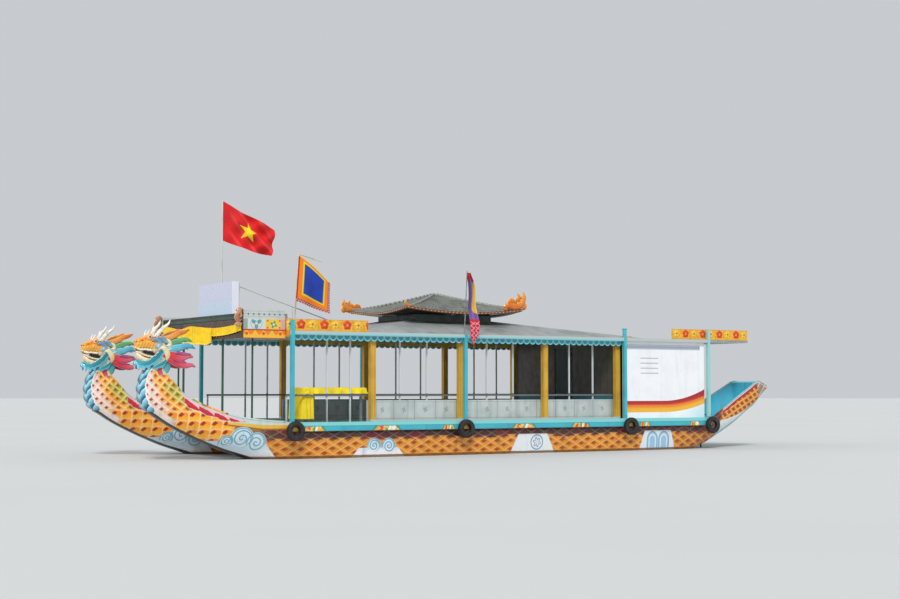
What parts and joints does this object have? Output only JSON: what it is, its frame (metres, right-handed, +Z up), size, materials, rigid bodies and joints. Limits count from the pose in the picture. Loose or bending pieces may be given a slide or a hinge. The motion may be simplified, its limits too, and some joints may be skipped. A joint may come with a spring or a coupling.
{
  "type": "dragon boat",
  "caption": "Twin-hulled river boat with carved dragon heads, an open saloon, an aft cabin, a pavilion roof, flags, tyre fenders, turning propellers and linked rudders.",
  "frame": {"origin": "middle of the boat's length and breadth, on the flat underside of the hulls", "axes": "+X to the bow, +Y to port, +Z up; the waterline is 0.40 m above the origin"},
  "size_m": [17.7, 5.2806, 6.27],
  "materials": {
    "hull_paint": "gloss paint with scale pattern",
    "head_paint": "gloss paint on carved composite",
    "mane_paint": "gloss paint on carved composite",
    "turquoise_paint": "semi-gloss paint",
    "deck_paint": "worn deck paint",
    "yellow_paint": "painted timber",
    "grey_paint": "semi-gloss paint",
    "white_paint": "gloss paint",
    "roof_sheet": "weathered grey sheet",
    "blossom_board": "painted boards with blossoms",
    "sign_white": "blank light box",
    "steel_tube": "painted steel tube",
    "flag_cloth": "thin woven cloth",
    "festival_cloth": "thin woven cloth",
    "yellow_cloth": "satin cloth",
    "tyre_rubber": "worn rubber",
    "bronze": "cast",
    "shaft_steel": "turned"
  },
  "bodies": {
    "root": {"hull_port": "hull_paint", "hull_starboard": "hull_paint", "neck_port": "hull_paint", "neck_starboard": "hull_paint", "dragon_head_port": "head_paint", "dragon_head_starboard": "head_paint", "dragon_mane_port": "mane_paint", "dragon_mane_starboard": "mane_paint", "main_deck": "deck_paint", "fore_deck": "deck_paint", "side_frame_port": "turquoise_paint", "side_frame_starboard": "turquoise_paint", "pillar_frame_port": "yellow_paint", "pillar_frame_starboard": "yellow_paint", "low_wall_port": "grey_paint", "low_wall_starboard": "grey_paint", "aft_panel_port": "white_paint", "aft_panel_starboard": "white_paint", "cabin_bulkhead": "grey_paint", "aft_bulkhead": "grey_paint", "main_roof": "roof_sheet", "aft_roof": "roof_sheet", "fore_roof": "roof_sheet", "canopy_roof": "roof_sheet", "canopy_fascia": "white_paint", "canopy_frame": "steel_tube", "valance_port": "turquoise_paint", "valance_starboard": "turquoise_paint", "flower_board_fore_port": "blossom_board", "flower_board_fore_starboard": "blossom_board", "flower_board_aft_port": "blossom_board", "flower_board_aft_starboard": "blossom_board", "pavilion_riser": "roof_sheet", "pavilion_roof": "roof_sheet", "sign_box": "sign_white", "sign_frame": "steel_tube", "national_flag": "flag_cloth", "festival_pole": "steel_tube", "festival_flag": "festival_cloth", "pennant_pole": "steel_tube", "pennant": "flag_cloth", "front_swag": "yellow_cloth", "tyre_1_port": "tyre_rubber", "tyre_1_starboard": "tyre_rubber", "tyre_2_port": "tyre_rubber", "tyre_2_starboard": "tyre_rubber", "tyre_3_port": "tyre_rubber", "tyre_3_starboard": "tyre_rubber", "tyre_4_port": "tyre_rubber", "tyre_4_starboard": "tyre_rubber", "shaft_port": "shaft_steel", "shaft_starboard": "shaft_steel", "table": "yellow_paint", "table_cloth": "yellow_cloth"},
    "propeller_port": {"propeller_port": "bronze"},
    "propeller_starboard": {"propeller_starboard": "bronze"},
    "rudder_port": {"rudder_port": "steel_tube"},
    "rudder_starboard": {"rudder_starboard": "steel_tube"}
  },
  "joints": [
    {"name": "propeller_spin_port", "type": "hinge", "parent": "root", "child": "propeller_port", "pos_m": [-6.26, 1.65, 0.215], "axis": [1, 0, 0], "continuous": true},
    {"name": "propeller_spin_starboard", "type": "hinge", "parent": "root", "child": "propeller_starboard", "pos_m": [-6.26, -1.65, 0.215], "axis": [1, 0, 0], "continuous": true},
    {"name": "rudder_turn_port", "type": "hinge", "parent": "root", "child": "rudder_port", "pos_m": [-6.76, 1.65, 0.64], "axis": [0, 0, 1], "range_deg": [-35, 35]},
    {"name": "rudder_turn_starboard", "type": "hinge", "parent": "root", "child": "rudder_starboard", "pos_m": [-6.76, -1.65, 0.64], "axis": [0, 0, 1], "range_deg": [-35, 35]}
  ],
  "couplings": [
    {"joint": "rudder_turn_starboard", "follows": "rudder_turn_port", "ratio": 1}
  ]
}
